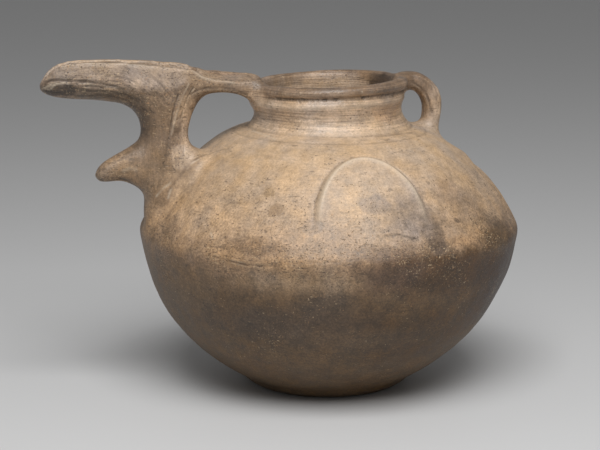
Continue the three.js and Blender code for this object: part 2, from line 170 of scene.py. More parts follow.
outside += profile(NECK_RADIUS, SHOULDER_TOP, NECK_ROOT)
outside += profile(NECK_RADIUS, GROOVE_HEIGHT, NECK_RIDGE)
outside += profile(RIM_RADIUS, GROOVE_HEIGHT, LIP_SIDE)
outside += profile(RIM_RADIUS, RIM_TOP, LIP_TOP)
outside.append((0, RIM_TOP))
inside += profile(NECK_BORE, GROOVE_HEIGHT, [(-0.5, -6)])
inside += profile(NECK_BORE, RIM_TOP, [(0.2, -2.4)])
inside += profile(RIM_RADIUS, RIM_TOP, LIP_INSIDE)
# The hollow runs out above the lip, so that the mouth is open
inside.append((0, inside[-1][1]))


def turned(outline):
    bm = bmesh.new()
    verts = [bm.verts.new((AXIS + radius, 0, height)) for radius, height in outline]
    edges = [bm.edges.new(pair) for pair in zip(verts, verts[1:])]
    bmesh.ops.spin(
        bm, geom=verts + edges, cent=(AXIS, 0, 0), axis=(0, 0, 1), angle=2 * math.pi,
        steps=WALL_FACETS, use_merge=True,
    )
    bmesh.ops.remove_doubles(bm, verts=bm.verts, dist=WELD)
    bmesh.ops.recalc_face_normals(bm, faces=bm.faces)
    return bm


def workpiece(name, bm):
    mesh = bpy.data.meshes.new(name)
    bm.to_mesh(mesh)
    bm.free()
    made = bpy.data.objects.new(name, mesh)
    bpy.context.scene.collection.objects.link(made)
    return made


lump = workpiece("lump", turned(outside))
hollows = [workpiece("cavity", turned(inside))]
limbs = []

# Spout pipe. A thick oval roll of clay stood on the shoulder and pierced with a stick; its top was
# flared fore and aft to carry the trough, and a flat strip was pressed down its back.
SPOUT_SIDES = 36
PIPE_WIDTH = 27 * mm
TAIL_WIDTH = 15 * mm
TAIL_SQUARENESS = 0.7
BORE_RADIUS = 6.5 * mm
BORE_LENGTH = 90 * mm
BORE_MIDDLE = (AXIS - 103.5 * mm, 0, 150 * mm)


def oval(centre, across, along, squareness=1.0):
    points = []
    for i in range(SPOUT_SIDES):
        turn = 2 * math.pi * i / SPOUT_SIDES
        u, v = math.cos(turn), math.sin(turn)
        points.append(
            centre
            + across * math.copysign(abs(u) ** squareness, u)
            + along * math.copysign(abs(v) ** squareness, v)
        )
    return points


def rolled(name, sections):
    bm = bmesh.new()
    ring = bmesh.ops.create_circle(bm, cap_ends=True, segments=SPOUT_SIDES, radius=1)["verts"]
    edges = list(bm.edges)
    for vert, point in zip(ring, sections[0]):
        vert.co = point
    for section in sections[1:]:
        grown = bmesh.ops.extrude_edge_only(bm, edges=edges)["geom"]
        fresh = {item for item in grown if isinstance(item, bmesh.types.BMVert)}
        ring = [next(e.other_vert(v) for e in v.link_edges if e.other_vert(v) in fresh) for v in ring]
        edges = [e for e in grown if isinstance(e, bmesh.types.BMEdge) and fresh.issuperset(e.verts)]
        for vert, point in zip(ring, section):
            vert.co = point
    bmesh.ops.contextual_create(bm, geom=edges)
    bmesh.ops.recalc_face_normals(bm, faces=bm.faces)
    return workpiece(name, bm)


# A level section of an upright roll: how far its front and back stand out from the pot's axis
def upright(front, back, height, width, squareness=1.0):
    centre = Vector((AXIS - (front + back) * mm / 2, 0, height * mm))
    return oval(centre, Vector(((front - back) * mm / 2, 0, 0)), Vector((0, width / 2, 0)), squareness)


# Sections from the bottom up, in mm: front, back, height and what is added to the pipe's width
PIPE = [
    (116.6, 84, 100, 6), (117, 82, 112, 6), (117.2, 82, 126, 5), (118.4, 84, 140, 3),
    (119.4, 88.6, 150, 1), (119.6, 91.5, 158, 0), (118.8, 91, 165, 0), (120.2, 89.4, 171.5, 0),
    (124, 86.6, 176.5, 1), (130.5, 83.5, 180, 2), (138, 80.5, 184.5, 3),
]
HEEL = [
    (106, 90, 118, 2), (104, 84, 130, 8), (103, 78, 141, 12), (102, 77, 147, 9),
    (102, 81.5, 150.5, 4), (101.5, 87, 153, 0), (101, 90.5, 156.5, -4), (100.5, 92, 160, -10),
]
TAIL = [(98, 88.5, 142), (98, 90.2, 153), (98, 89.8, 163), (97, 88.2, 171), (95, 84.6, 178), (92, 81, 184)]
limbs.append(rolled("pipe", [upright(*spot, PIPE_WIDTH + wider * mm) for *spot, wider in PIPE]))
limbs.append(rolled("tail", [upright(*spot, TAIL_WIDTH, TAIL_SQUARENESS) for spot in TAIL]))
limbs.append(rolled("heel", [upright(*spot, PIPE_WIDTH + wider * mm) for *spot, wider in HEEL]))
bore = bmesh.new()
bmesh.ops.create_cone(
    bore, cap_ends=True, segments=SPOUT_SIDES, radius1=BORE_RADIUS, radius2=BORE_RADIUS,
    depth=BORE_LENGTH, matrix=Matrix.Translation(BORE_MIDDLE),
)
hollows.append(workpiece("bore", bore))

# Lug. A solid knob of clay below the beak, pinched out like a short beard and drooping a little at its
# rounded end; it was pressed on the front of the pipe and smoothed in all round.


# An upright section of a lying roll: how far out it is, its top and bottom, and how its far side leans up
def lying(out, top, bottom, width, squareness=1.0, lean=0):
    centre = Vector((AXIS - out * mm, 0, (top + bottom) * mm / 2))
    across = Vector((0, width * mm / 2, lean * mm))
    return oval(centre, across, Vector((0, 0, (top - bottom) * mm / 2)), squareness)


# Sections from the end back, in mm: out, top, bottom and width
LUG = [
    (147.6, 138.2, 136.2, 2), (147, 140, 134.6, 6), (145, 142.8, 133.2, 10), (142, 145.4, 132.6, 12.4),
    (138, 147.8, 132.9, 13.4), (133, 150.4, 133.2, 14.4), (128, 153, 132, 16.4), (122, 157, 128.5, 20),
    (114, 162, 121, 23), (106, 162, 121, 23),
]
limbs.append(rolled("lug", [lying(*section) for section in LUG]))

# Trough. A beak-shaped open channel pinched from a slab and seated on the flared pipe; its walls
# were smoothed level while the keel below the crease kept the scraping marks.
trough_low, trough_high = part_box("spout_trough")
TIP = trough_low.x
TROUGH_BACK = trough_high.x
SEAT = trough_low.z
TROUGH_WIDTH = trough_high.y - trough_low.y
TROUGH_WALL = 4.5 * mm
TROUGH_STEPS = 24
TIP_WIDTH = 8 * mm
SIDE_CURVE = 3
CREST = -143 * mm
WALL_RISE = 25.8 * mm
LIP_RISE = 12.8 * mm
LIP_CURVE = 4.5
BACK_RISE = 20.7 * mm
BACK_CORNER = 3 * mm
BACK_CORNER_CURVE = 24
CREST_TILT = 1.2 * mm
BACK_TILT = -0.9 * mm
KEEL_FRONT = -134 * mm
KEEL_STEP = 1.5 * mm
KEEL_RISE = 4 * mm
TIP_LIFT = 3 * mm
WALL_FOOT = 0.45
WALL_STEEPNESS = 1.6
EDGE_FLATNESS = 1.8
CHANNEL_FLOOR = 11 * mm
CHANNEL_LEAST = 3 * mm
CHANNEL_CORNER = 1 * mm
CHANNEL_OVERRUN = 2 * mm
CHANNEL_STEPS = 16


def trough_half_width(x):
    share = 2 * (x - TIP) / (TROUGH_BACK - TIP) - 1
    end = 1 - (TIP_WIDTH / TROUGH_WIDTH) ** 2
    return TROUGH_WIDTH / 2 * math.sqrt(1 - end * abs(share) ** SIDE_CURVE)


def trough_edge(x):
    if x < CREST:
        return SEAT + mix(WALL_RISE, LIP_RISE, ((CREST - x) / (CREST - TIP)) ** LIP_CURVE)
    aft = (x - CREST) / (TROUGH_BACK - CREST)
    return SEAT + mix(WALL_RISE, BACK_RISE, ease(aft)) - BACK_CORNER * aft**BACK_CORNER_CURVE


# How much higher the near edge stands than the middle, and the far edge lower
def edge_tilt(x):
    return mix(CREST_TILT, BACK_TILT, ease((x - CREST) / (TROUGH_BACK - CREST)))


def keel(x):
    fore = max((KEEL_FRONT - x) / (KEEL_FRONT - TIP), 0)
    return SEAT + KEEL_STEP * ease(fore * 4) + KEEL_RISE * fore**2 + TIP_LIFT * fore**10


def u_section(x, half_width, bottom, top, tilt=0):
    middle = mix(bottom, top, WALL_FOOT)
    points = []
    for i in range(SPOUT_SIDES):
        turn = 2 * math.pi * i / SPOUT_SIDES
        y = half_width * math.cos(turn)
        rise = math.sin(turn)
        if rise < 0:
            z = middle + (middle - bottom) * rise
        else:
            y = half_width * max(min(WALL_STEEPNESS * math.cos(turn), 1), -1)
            z = mix(middle, top - tilt * y / half_width, min(EDGE_FLATNESS * rise, 1))
        points.append(Vector((x, y, z)))
    return points


def trough_body(t):
    x = mix(TIP, TROUGH_BACK, (1 - math.cos(math.pi * t)) / 2)
    return u_section(x, trough_half_width(x), keel(x), trough_edge(x), edge_tilt(x))


def trough_channel(t):
    back = TROUGH_BACK - TROUGH_WALL
    x = mix(TIP - CHANNEL_OVERRUN, back, t)
    near = min(max(x, TIP + TROUGH_WALL), back - CHANNEL_CORNER)
    half = max(trough_half_width(near) - TROUGH_WALL, CHANNEL_LEAST)
    floor = SEAT + mix(LIP_RISE, CHANNEL_FLOOR, ease(t * 2))
    return u_section(x, half, floor, SEAT + WALL_RISE + 2 * CHANNEL_OVERRUN)


limbs.append(rolled("trough", stations(TROUGH_STEPS, trough_body)))
hollows.append(rolled("channel", stations(CHANNEL_STEPS, trough_channel)))

# Bridge. A strap of the same clay that ties the trough to the rim; its top is flattened, its near edge
# carries on from the trough's wall, and at the rim it spreads down on to the neck.
# Sections from trough to rim, in mm: out, top, bottom, width, squareness and lean
BRIDGE = [
    (86, 199, 183, 22, 0.6, 0), (79, 198, 185.2, 22, 0.55, 1.6), (72.6, 197, 187, 21, 0.5, 2.4),
    (66, 196.6, 187.2, 20.5, 0.5, 2.4), (60, 196.8, 186.8, 20.5, 0.5, 2.6),
    (55, 197.3, 184.6, 20.5, 0.55, 2.3), (51, 197.9, 181, 21.5, 0.6, 2),
    (47.5, 197.6, 175.5, 22.5, 0.65, 1.5), (43, 196.4, 172, 22, 0.7, 1),
]
limbs.append(rolled("bridge", [lying(*section) for section in BRIDGE]))

# Loop handle. An oval roll bent from the rim down to the shoulder, flattened by the potter's fingers;
# its foot was splayed out with a pad of fresh clay.
HANDLE_WIDTH = 17 * mm
HANDLE_SQUARENESS = 0.85


# A section of the bent roll: the points on its outer and inner side, out from the axis and up
def strap(outer, inner, wider):
    outer = Vector((AXIS + outer[0] * mm, 0, outer[1] * mm))
    inner = Vector((AXIS + inner[0] * mm, 0, inner[1] * mm))
    across = Vector((0, (HANDLE_WIDTH + wider * mm) / 2, 0))
    return oval((outer + inner) / 2, across, (outer - inner) / 2, HANDLE_SQUARENESS)


# Sections from rim to shoulder, in mm: outer point, inner point and what is added to the width
HANDLE = [
    ((42, 193.4), (42, 180), 0), ((50.5, 194), (50.4, 182.2), 0), ((57, 193), (53.2, 181.9), 0),
    ((62, 190.6), (56, 180.3), 0), ((66.4, 187.4), (58.2, 177.8), 0), ((70.1, 183.4), (59.5, 174.8), 0),
    ((72.4, 177.6), (60.2, 172.2), 0), ((73, 172), (60.2, 169.2), 0), ((72.4, 166.5), (59.8, 165.4), 0),
    ((71.6, 161), (58.4, 161.4), 1), ((71.4, 155.5), (56, 156), 4), ((71.4, 148), (56, 149), 5),
]
limbs.append(rolled("handle", [strap(*section) for section in HANDLE]))

# Luting. The leather-hard elements were scored, pressed together with slip and smoothed over, so
# every joint is a soft hollow; then the whole skin was scraped, burnished and fired as one.
SKIN_GRAIN = 1.5 * mm
LUTE_WIDTH = 9 * mm
LUTE_STROKES = 26
STROKE_STRENGTH = 0.5
SCRAPE_STROKES = 3
BELLY_ROUNDING = 9 * mm
BELLY_STROKES = 18

trees = []
for element in [lump] + limbs:
    raw = bmesh.new()
    raw.from_mesh(element.data)
    trees.append(BVHTree.FromBMesh(raw))
    raw.free()
for operation, tools in (("UNION", limbs), ("DIFFERENCE", hollows)):
    for tool in tools:
        join = lump.modifiers.new(tool.name, "BOOLEAN")
        join.operation = operation
        join.solver = "MANIFOLD"
        join.object = tool
knead = lump.modifiers.new("knead", "REMESH")
knead.mode = "VOXEL"
knead.voxel_size = SKIN_GRAIN
fused = bpy.data.meshes.new_from_object(lump.evaluated_get(bpy.context.evaluated_depsgraph_get()))
for element in [lump] + limbs + hollows:
    bpy.data.objects.remove(element)

skin = bmesh.new()
skin.from_mesh(fused)


def rub(verts):
    bmesh.ops.smooth_vert(
        skin, verts=verts, factor=STROKE_STRENGTH, use_axis_x=True, use_axis_y=True, use_axis_z=True,
    )


closeness = {}
for vert in skin.verts:
    near = sorted(hit[3] for hit in (tree.find_nearest(vert.co, LUTE_WIDTH) for tree in trees) if hit[0])
    if len(near) > 1:
        closeness[vert] = 1 - near[1] / LUTE_WIDTH
for stroke in range(LUTE_STROKES):
    reach = stroke / LUTE_STROKES
    rub([vert for vert, near in closeness.items() if near > reach])
for stroke in range(SCRAPE_STROKES):
    rub(skin.verts)
belly_edge = [vert for vert in skin.verts if abs(vert.co.z - BELLY_HEIGHT) < BELLY_ROUNDING]
for stroke in range(BELLY_STROKES):
    rub(belly_edge)
# The foot stands a little to one side of the belly's axis, so the bowl leans between them
for vert in skin.verts:
    if vert.co.z < BELLY_HEIGHT:
        vert.co.x -= AXIS * (1 - vert.co.z / BELLY_HEIGHT)

# Bosses. Three arched pads of clay pressed on the shoulder, front, back and under the handle; the two large
# ones have a rolled upper edge with a thin groove round it, and all fade into the belly edge below.
BOSS_WIDTH = 72 * mm
BOSS_MIDDLE = BELLY_HEIGHT + 15 * mm
BOSS_FOOT = BELLY_HEIGHT + 14 * mm
BOSS_FULL = BELLY_HEIGHT + 40 * mm
BOSS_RAMP = 5 * mm
BOSS_SPREAD = math.radians(34.4)
BOSS_STEPS = 240
BOSS_LIP = 0.45
BOSS_LIP_INSET = 3 * mm
BOSS_LIP_WIDTH = 2 * mm
BOSS_LIP_HIGHLIGHT = 0.24
BOSS_GROOVE = 0.22
BOSS_GROOVE_WIDTH = 0.9 * mm
BOSS_GROOVE_SHADE = 0.7
GROOVE_EVEN = 0.65
GROOVE_UNEVEN = 0.9
GROOVE_SPAN = 14 * mm
OUTER_SKIN = 4 * mm
FINE_REACH = 5 * mm
# By the turn about the axis in degrees: the arch's top, its relief, and whether its edge is rolled
BOSSES = {
    -91: (SHOULDER_TOP - 8 * mm, 2.8 * mm, 1),
    90: (SHOULDER_TOP - 8 * mm, 2.8 * mm, 1),
    0: (SHOULDER_TOP - 23 * mm, 2 * mm, 0),
}


def on_shoulder(turn, height):
    radius = shoulder_radius(height)
    return Vector((AXIS + radius * math.cos(turn), radius * math.sin(turn), height))


def bump(distance, width):
    return math.exp(-((distance / width) ** 2))


# The skin's points within reach of a line, each with its distance
def beside(line, reach):
    skin.verts.ensure_lookup_table()
    places = kdtree.KDTree(len(skin.verts))
    for i, vert in enumerate(skin.verts):
        places.insert(vert.co, i)
    places.balance()
    found = {}
    for point in line:
        for spot, i, distance in places.find_range(point, reach):
            vert = skin.verts[i]
            found[vert] = min(distance, found.get(vert, reach))
    return found


def boss_edge(middle, top, share):
    height = mix(BOSS_MIDDLE, top, math.sin(math.pi * share))
    side = BOSS_WIDTH / 2 * math.cos(math.pi * share)
    return on_shoulder(middle + side / shoulder_radius(height), height)


def inside_boss(turn, height, middle, top):
    side = (turn - middle) * shoulder_radius(height) / (BOSS_WIDTH / 2)
    return math.hypot(side, (height - BOSS_MIDDLE) / (top - BOSS_MIDDLE)) < 1


# Finer clay where a tool has drawn a line
def refine(near):
    edges = [edge for edge in skin.edges if near.issuperset(edge.verts)]
    bmesh.ops.subdivide_edges(skin, edges=edges, cuts=1, use_grid_fill=True)
    rub(list({vert for edge in edges if edge.is_valid for vert in edge.verts}))


boss_lines = {}
for degrees, (top, relief, rolled_edge) in BOSSES.items():
    middle = math.radians(degrees)
    boss_lines[degrees] = stations(BOSS_STEPS, lambda t: boss_edge(middle, top, t))
refine({vert for vert in beside(sum(boss_lines.values(), []), FINE_REACH) if vert.co.z > BOSS_FOOT})
# Two colour layers: painted shade in grooves and creases, with the hollows darkened, and paler worn clay,
# with painted highlight on ridges and rolled lips.
groove_shade_and_hollow_dark = skin.verts.layers.float.new("groove_shade_and_hollow_dark")
wear_and_ridge_highlight = skin.verts.layers.float.new("wear_and_ridge_highlight")
skin.normal_update()
for degrees, (top, relief, rolled_edge) in BOSSES.items():
    middle = math.radians(degrees)
    near = beside(boss_lines[degrees], 2 * FINE_REACH)
    for vert in skin.verts:
        turn = math.atan2(vert.co.y, vert.co.x - AXIS)
        radius = math.hypot(vert.co.x - AXIS, vert.co.y)
        if not BOSS_FOOT < vert.co.z < top + FINE_REACH or abs(turn - middle) > BOSS_SPREAD:
            continue
        if radius < shoulder_radius(vert.co.z) - OUTER_SKIN:
            continue
        distance = near.get(vert, 2 * FINE_REACH)
        fade = ease((vert.co.z - BOSS_FOOT) / (BOSS_FULL - BOSS_FOOT))
        groove = rolled_edge * bump(distance, BOSS_GROOVE_WIDTH)
        groove *= GROOVE_EVEN + GROOVE_UNEVEN * noise.noise(vert.co / GROOVE_SPAN)
        lift = -BOSS_GROOVE * groove
        if inside_boss(turn, vert.co.z, middle, top):
            lip = rolled_edge * bump(distance - BOSS_LIP_INSET, BOSS_LIP_WIDTH)
            lift += ease(distance / (BOSS_RAMP * (2 - rolled_edge))) + BOSS_LIP * lip
            # The rolled lip is lightened with painted highlight, and the groove is darkened with painted
            # shade.
            vert[wear_and_ridge_highlight] = max(vert[wear_and_ridge_highlight], BOSS_LIP_HIGHLIGHT * lip * fade * relief / mm)
        vert[groove_shade_and_hollow_dark] = max(vert[groove_shade_and_hollow_dark], BOSS_GROOVE_SHADE * groove * fade)
        vert.co += vert.normal * relief * lift * fade

# Tooling. Lines drawn by fingers and bone tools: the grooves of lip and neck root, the folds where
# fresh clay was smeared over a joint, the beak's crease and chipped tip, and the strip's two strokes.
# Their grooves are darkened with painted shade; chips and scuffs are paler worn clay, and some ridges carry
# painted highlight.
RING_STEPS = 360
EDGE_STEPS = 160
EDGE_FROM_TIP = 9 * mm
EDGE_FROM_BACK = 4 * mm
EDGE_INSET = 2 * mm
LINE_STEP = 0.5 * mm
LINE_REACH = 3 * mm
LINE_SPREAD = 3
LINE_EVEN = 0.85
LINE_UNEVEN = 0.7
LINE_SPAN = 6 * mm


def neck_ring(radius, height):
    return stations(RING_STEPS, lambda t: Vector((
        AXIS + radius * math.cos(2 * math.pi * t), radius * math.sin(2 * math.pi * t), height,
    )))


skin_tree = BVHTree.FromBMesh(skin)


def on_skin(line):
    return [skin_tree.find_nearest(point)[0] for point in line]


def drawn(*places):
    points = [Vector(place) * mm for place in places]
    line = []
    for start, end in zip(points, points[1:]):
        line += stations(math.ceil((end - start).length / LINE_STEP), lambda t: mix(start, end, t))
    return on_skin(line)


def near_edge(t):
    x = mix(TIP + EDGE_FROM_TIP, TROUGH_BACK - EDGE_FROM_BACK, t)
    return Vector((x, EDGE_INSET - trough_half_width(x), trough_edge(x) + edge_tilt(x)))


# Each line with its relief and width in mm, how much painted shade darkens it, and how pale it is from wear
# or painted highlight
TOOLED = [
    (neck_ring(NECK_RADIUS - 0.2 * mm, GROOVE_HEIGHT), -1.4, 0.8, 1, 0),
    # Painted shadow: the dark line along the trough's near edge, between its near and far walls.
    (on_skin(stations(EDGE_STEPS, near_edge)), -0.4, 0.7, 0.8, 0),
    # Painted highlight along the ridge below the lip.
    (neck_ring(NECK_RADIUS + 1.3 * mm, GROOVE_HEIGHT - 5 * mm), 0.5, 2.4, 0, 0.2),
    (neck_ring(SHOULDER_TOP_RADIUS - 1 * mm, SHOULDER_TOP + 0.4 * mm), -0.4, 0.8, 0.5, 0),
    (neck_ring(SHOULDER_TOP_RADIUS + 8 * mm, SHOULDER_TOP - 2 * mm), -0.3, 0.9, 0.35, 0),
    (drawn((-175, -6, 195), (-172, -9, 197), (-168, -11, 197.3), (-162.5, -13, 196.7)),
     -0.7, 0.9, 1, 0),
    (drawn((-162.5, -13, 196.7), (-152, -15, 196.3)), -0.7, 0.9, 1, 0),
    (drawn((-152, -15, 196.3), (-146.5, -15.5, 195.5), (-141, -16, 194.5), (-134, -16, 193)),
     -0.6, 0.8, 0.9, 0),
    (drawn((-152, -15, 193.5), (-147, -15.5, 193.5), (-141.5, -16, 192.5)), -0.6, 0.7, 0.9, 0),
    (drawn((-88, -11, 186), (-83, -10.5, 188.5), (-77.5, -10.5, 189.5), (-69.5, -9.5, 189.5),
           (-60.5, -9.5, 188.5), (-53, -9.5, 186)), -0.4, 0.8, 0.6, 0),
    (drawn((-176.5, -4, 191.5), (-174.5, -7, 192.7), (-172.5, -9, 194.2), (-171, -10, 193.8),
           (-169, -11, 195), (-165, -12.5, 195.6)), -0.3, 0.5, 0, 0.9),
    (drawn((-174, -7.5, 191.3), (-171.5, -9.5, 192.3)), -0.2, 0.4, 0, 0.5),
    (drawn((-161, -13, 192.6), (-150, -15, 191), (-138, -15.5, 189.7), (-128.5, -14.5, 187.5),
           (-122, -12.5, 183.3), (-117, -11, 177.5)), -0.4, 1.1, 0.6, 0),
    (drawn((-96.5, -13, 186), (-98.5, -13.5, 181), (-100, -13.5, 175), (-101, -13, 168.5),
           (-102, -13, 162.5)), -0.5, 0.7, 0.75, 0),
    (drawn((-102, -13, 162.5), (-103.5, -13.5, 156), (-104.5, -13.5, 149.5), (-105.5, -13.5, 143)),
     -0.3, 0.8, 0.4, 0),
    (drawn((-89.5, -12.5, 192.5), (-92.5, -13, 186.5), (-95.5, -13.5, 180.5), (-97.5, -13.5, 174),
           (-99, -13.5, 168.5), (-100.5, -13.5, 162.5)), 0.4, 0.6, 0, 0.45),
    (drawn((-86.5, -11.5, 190), (-90, -11.5, 185), (-92.5, -12, 179), (-94.5, -11.5, 172)),
     -0.5, 0.6, 0.7, 0),
    # Painted highlight along the bridge's near crest.
    (drawn((-86.5, -11, 200.7), (-83.5, -10, 197.8), (-79.5, -10, 195.4), (-71, -9.5, 193.6),
           (-61, -9.5, 192.5)), 0.9, 1.1, 0, 0.45),
    (drawn((-67.5, -20.5, 153.3), (-73, -12, 151), (-78.5, -9.5, 149), (-85, -15.5, 147.5),
           (-89.5, -17, 145.5)), -0.4, 0.6, 0.5, 0),
    (drawn((-89.5, -17, 145.5), (-92.5, -17, 142), (-96, -16, 137), (-100, -15.5, 132.5),
           (-103.5, -15, 127.5)), -0.3, 0.8, 0.3, 0),
    (drawn((-110, -11, 124.5), (-106.5, -13.5, 129.5), (-102, -15, 133)), -0.2, 0.6, 0, 0.55),
    (drawn((-103.5, -15, 124), (-102, -15.5, 129)), -0.2, 0.6, 0, 0.5),
    # Painted shade in the hollow between lug and pipe, and painted highlight on the lug's near side.
    (drawn((-131, -4, 135), (-126.5, -3.5, 133.5), (-122, -2.5, 130.5), (-118, -2.5, 127)),
     -0.6, 1.2, 0.7, 0),
    (drawn((-129, -7, 140.5), (-125.5, -8, 142), (-122, -9, 141)), 0.3, 1.2, 0, 0.35),
    (drawn((-49.5, -10.5, 162), (-47, -22.5, 162), (-42.5, -37, 161)), -0.2, 0.7, 0, 0.45),
    (drawn((17, -50, 162), (32, -42.5, 162), (45, -34, 161.5)), -0.4, 1, 0.5, 0),
    (drawn((51.5, -7, 192), (58, -7.5, 190), (64.5, -8, 185.5), (68.5, -7.5, 178.5)), -0.3, 1, 0.4, 0),
    (drawn((52.5, -8, 188), (58, -7.5, 184.5), (63, -7, 178.5), (66, -7.5, 169)), -0.4, 0.8, 0.5, 0),
    (drawn((39.5, -27, 181), (43, -21, 172), (45, -16, 168), (49, -10, 164), (54, -3, 162)),
     0.2, 0.9, 0, 0.6),
    (drawn((-88.5, -73.5, 99.5), (-80.5, -83, 98), (-73.5, -89.5, 97), (-64.5, -95.5, 97)),
     -0.4, 0.7, 0.7, 0),
    (drawn((-64.5, -95.5, 97), (-50, -104, 99), (-39.5, -107.5, 100), (-23, -113.5, 100.5)),
     -0.2, 0.7, 0.25, 0),
    (drawn((1, -110, 114), (14, -109, 114.5), (25.5, -108.5, 110.5)), -0.3, 0.7, 0.5, 0),
    (drawn((-88, -64.5, 111.5), (-87.5, -67.5, 109)), -0.2, 0.6, 0, 0.6),
    (drawn((-75.5, -61, 128), (-70.5, -66, 128.5)), -0.3, 0.7, 0.5, 0),
]
refine(set(beside(sum((row[0] for row in TOOLED), []), LINE_REACH)))
skin.normal_update()
for line, relief, width, dark, pale in TOOLED:
    for vert, distance in beside(line, LINE_SPREAD * width * mm).items():
        stroke = bump(distance, width * mm)
        stroke *= min(LINE_EVEN + LINE_UNEVEN * noise.noise(vert.co / LINE_SPAN), 1)
        vert.co += vert.normal * relief * mm * stroke
        vert[groove_shade_and_hollow_dark] = max(vert[groove_shade_and_hollow_dark], dark * stroke)
        vert[wear_and_ridge_highlight] = max(vert[wear_and_ridge_highlight], pale * stroke)

# Hand work. No wall is quite round or level: the rim dips towards the spout, the bowl swells below it,
# and the skin keeps the shallow dents and flats of beating, scraping and burnishing.
RIM_DIP = math.tan(math.radians(1.6))
RIM_LEAN = math.tan(math.radians(0.9))
NECK_SET = 1.6 * mm
DENT = 0.7 * mm
DENT_SPAN = 42 * mm
FLAT = 0.14 * mm
FLAT_SPAN = 8 * mm
FOOT_CALM = 12 * mm
DIP_FADE = 25 * mm
NECK_SET_HEIGHT = SHOULDER_TOP + 14 * mm
NECK_SET_SPAN = 9 * mm
NECK_SET_START = NECK_RADIUS + 2 * mm
NECK_SET_FADE = 6 * mm
# Centre, reach and height of each swell; a negative one is a hollow
SWELLS = [
    (Vector((-108, 29, 72)) * mm, 42 * mm, 2.6 * mm),
    (Vector((76, -19, 150)) * mm, 34 * mm, -1.8 * mm),
    (Vector((108, -30, 76)) * mm, 17 * mm, 2.4 * mm),
    (Vector((86, -24, 30)) * mm, 14 * mm, -2 * mm),
    (Vector((106, -28, 118)) * mm, 18 * mm, 1.6 * mm),
    (Vector((86, -22, 148)) * mm, 9 * mm, 2.2 * mm),
]

skin.normal_update()
for vert in skin.verts:
    spot = vert.co.copy()
    push = DENT * noise.noise(spot / DENT_SPAN) + FLAT * noise.noise(spot / FLAT_SPAN)
    for centre, reach, swell in SWELLS:
        push += swell * bump((spot - centre).length, reach)
    vert.co += vert.normal * push * ease(spot.z / FOOT_CALM)
    out = spot.x - AXIS
    radius = math.hypot(out, spot.y)
    level = ease((spot.z - SHOULDER_TOP) / (GROOVE_HEIGHT - SHOULDER_TOP))
    level *= 1 - ease((radius - RIM_RADIUS) / DIP_FADE)
    vert.co.z += (out * RIM_DIP - (spot.y + RIM_RADIUS) * RIM_LEAN) * level
    on_neck = 1 - ease((radius - NECK_SET_START) / NECK_SET_FADE)
    vert.co.x -= NECK_SET * bump(spot.z - NECK_SET_HEIGHT, NECK_SET_SPAN) * on_neck

# Wear. Hands and years rubbed the edges of lip, beak, strap and belly to paler bare clay, and the hollows
# are darkened; both follow how far the skin stands out from its own surroundings.
WEAR_START = 0.14 * mm
WEAR_STEP = 0.3 * mm
WEAR_PALE = 0.4
WEAR_EVEN = 0.6
WEAR_SPAN = 6 * mm
HOLLOW_DARK = 0.3
FINEST_GRAIN = 0.5 * mm

skin.normal_update()
for vert in skin.verts:
    around = [edge.other_vert(vert).co for edge in vert.link_edges]
    spacing = sum((place - vert.co).length for place in around) / len(around)
    stands_out = (vert.co - sum(around, Vector()) / len(around)).dot(vert.normal)
    stands_out *= (SKIN_GRAIN / max(spacing, FINEST_GRAIN)) ** 2
    patch = WEAR_EVEN + noise.noise(vert.co / WEAR_SPAN)
    worn = WEAR_PALE * patch * ease((stands_out - WEAR_START) / WEAR_STEP)
    vert[wear_and_ridge_highlight] = max(vert[wear_and_ridge_highlight], worn * (1 - min(vert[groove_shade_and_hollow_dark], 1)))
    hollow_dark = HOLLOW_DARK * ease((-stands_out - WEAR_START) / WEAR_STEP)
    vert[groove_shade_and_hollow_dark] = max(vert[groove_shade_and_hollow_dark], hollow_dark)

# Seams. The skin is parted again along the potter's joints, so that each element stays a closed
# piece of its own; the normals of the whole skin are kept, and the joints stay smooth to the eye.
CUT_WELD = 0.001 * mm
# In mm, out from the axis and up: a point and the normal of the cut; then the low and high corner of a box
# round it, each as out, half depth and up; and whether the clay is hollow there
SEAMS = [
    ((0, PAD_THICKNESS / mm), (0, 1), (-150, 150, -10), (150, 150, 20), False),
    ((0, BELLY_HEIGHT / mm), (0, 1), (-150, 150, 90), (150, 150, 110), True),
    ((52, 0), (1, 0), (49, 18, 175), (56, 18, 202), False),
    ((0, 167), (0, 1), (53, 16, 161), (82, 16, 173), False),
    ((-51.5, 0), (1, 0), (-57, 18, 168), (-46, 18, 206), False),
    ((-77, 0), (1, 0), (-81, 20, 174), (-73, 20, 208), False),
    ((0, 181.5), (0, 1), (-144, 22, 175), (-76, 22, 188), True),
    ((-125, 0), (1, 0), (-131, 22, 116), (-121, 22, 168), False),
    ((-88, 153), (-34, 33), (-126, 26, 106), (-78, 26, 162), True),
    ((0, 164.3), (0, 1), (-58, 58, 154), (53, 58, 171), True),
]

skin.normal_update()
whole_normal = skin.verts.layers.float_vector.new("whole_normal")
for vert in skin.verts:
    vert[whole_normal] = vert.normal


